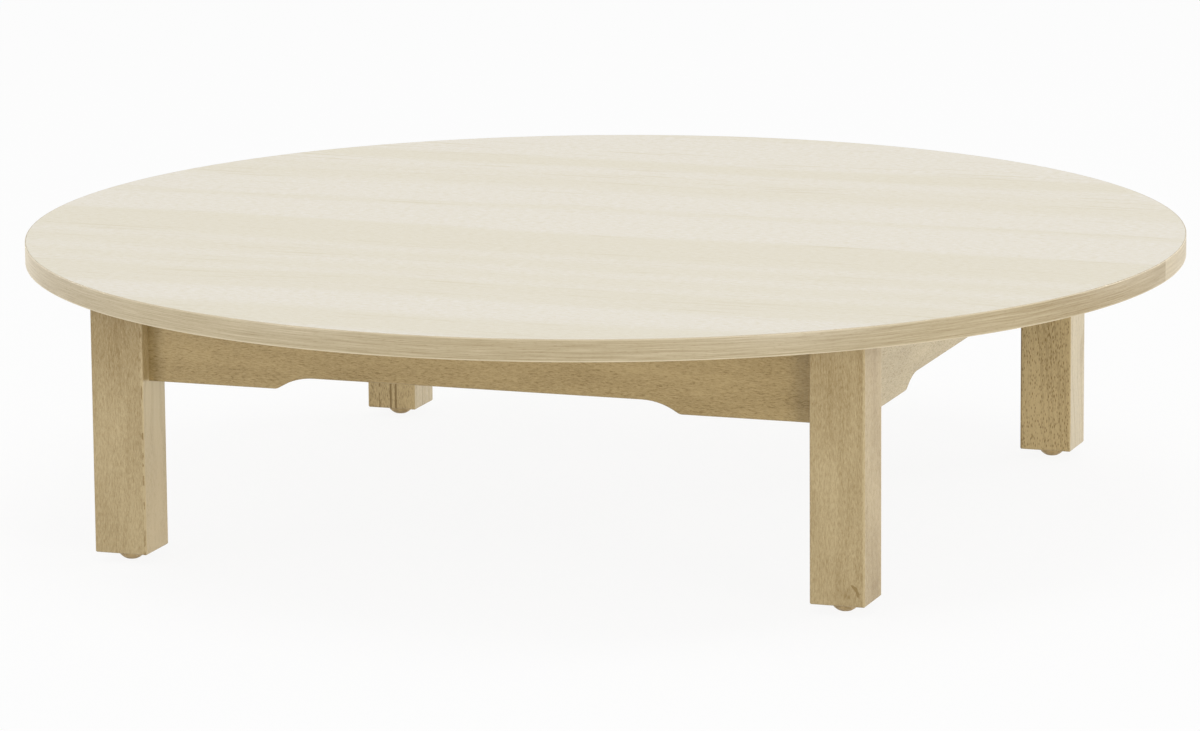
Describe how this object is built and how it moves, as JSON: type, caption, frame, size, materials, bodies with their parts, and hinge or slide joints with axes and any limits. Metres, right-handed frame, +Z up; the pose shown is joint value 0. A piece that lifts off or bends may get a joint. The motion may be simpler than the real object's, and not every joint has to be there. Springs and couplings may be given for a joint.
{
  "type": "low round table",
  "caption": "Low round table: a thin banded top on four square legs, joined by aprons with a shallow arch, standing on domed feet.",
  "frame": {"origin": "on the floor, under the middle of the round top", "axes": "+Z up; -Y out of the front apron and +X out of the right apron; the four sides are alike"},
  "size_m": [1.1999, 1.1999, 0.293],
  "materials": {
    "top_laminate": "satin",
    "backing_laminate": "matte",
    "particle_board": "raw chipboard",
    "edge_band": "satin",
    "beech": "satin lacquer",
    "zinc_plated_steel": "zinc plated",
    "screw_steel": "yellow zinc plated",
    "insert_steel": "zinc plated",
    "foot_plastic": "satin moulded"
  },
  "bodies": {
    "table": {"apron_back": "beech", "apron_front": "beech", "apron_left": "beech", "apron_right": "beech", "backing_sheet": "backing_laminate", "bracket_screws": "screw_steel", "brackets_back": "zinc_plated_steel", "brackets_front": "zinc_plated_steel", "brackets_left": "zinc_plated_steel", "brackets_right": "zinc_plated_steel", "corner_plate_back_left": "zinc_plated_steel", "corner_plate_back_right": "zinc_plated_steel", "corner_plate_front_left": "zinc_plated_steel", "corner_plate_front_right": "zinc_plated_steel", "corner_plate_screws": "screw_steel", "edge_band": "edge_band", "foot_insert_back_left": "insert_steel", "foot_insert_back_right": "insert_steel", "foot_insert_front_left": "insert_steel", "foot_insert_front_right": "insert_steel", "hanger_bolt_back_left": "zinc_plated_steel", "hanger_bolt_back_right": "zinc_plated_steel", "hanger_bolt_front_left": "zinc_plated_steel", "hanger_bolt_front_right": "zinc_plated_steel", "leg_back_left": "beech", "leg_back_right": "beech", "leg_front_left": "beech", "leg_front_right": "beech", "nut_back_left": "zinc_plated_steel", "nut_back_right": "zinc_plated_steel", "nut_front_left": "zinc_plated_steel", "nut_front_right": "zinc_plated_steel", "top_core": "particle_board", "top_sheet": "top_laminate", "washer_back_left": "zinc_plated_steel", "washer_back_right": "zinc_plated_steel", "washer_front_left": "zinc_plated_steel", "washer_front_right": "zinc_plated_steel"},
    "foot_front_left": {"foot_pad_front_left": "foot_plastic", "foot_stem_front_left": "zinc_plated_steel"},
    "foot_front_right": {"foot_pad_front_right": "foot_plastic", "foot_stem_front_right": "zinc_plated_steel"},
    "foot_back_right": {"foot_pad_back_right": "foot_plastic", "foot_stem_back_right": "zinc_plated_steel"},
    "foot_back_left": {"foot_pad_back_left": "foot_plastic", "foot_stem_back_left": "zinc_plated_steel"}
  },
  "joints": [
    {"name": "foot_front_left_height", "type": "slide", "parent": "table", "child": "foot_front_left", "axis": [0, 0, -1], "range_m": [0, 0.008]},
    {"name": "foot_front_right_height", "type": "slide", "parent": "table", "child": "foot_front_right", "axis": [0, 0, -1], "range_m": [0, 0.008]},
    {"name": "foot_back_right_height", "type": "slide", "parent": "table", "child": "foot_back_right", "axis": [0, 0, -1], "range_m": [0, 0.008]},
    {"name": "foot_back_left_height", "type": "slide", "parent": "table", "child": "foot_back_left", "axis": [0, 0, -1], "range_m": [0, 0.008]}
  ]
}
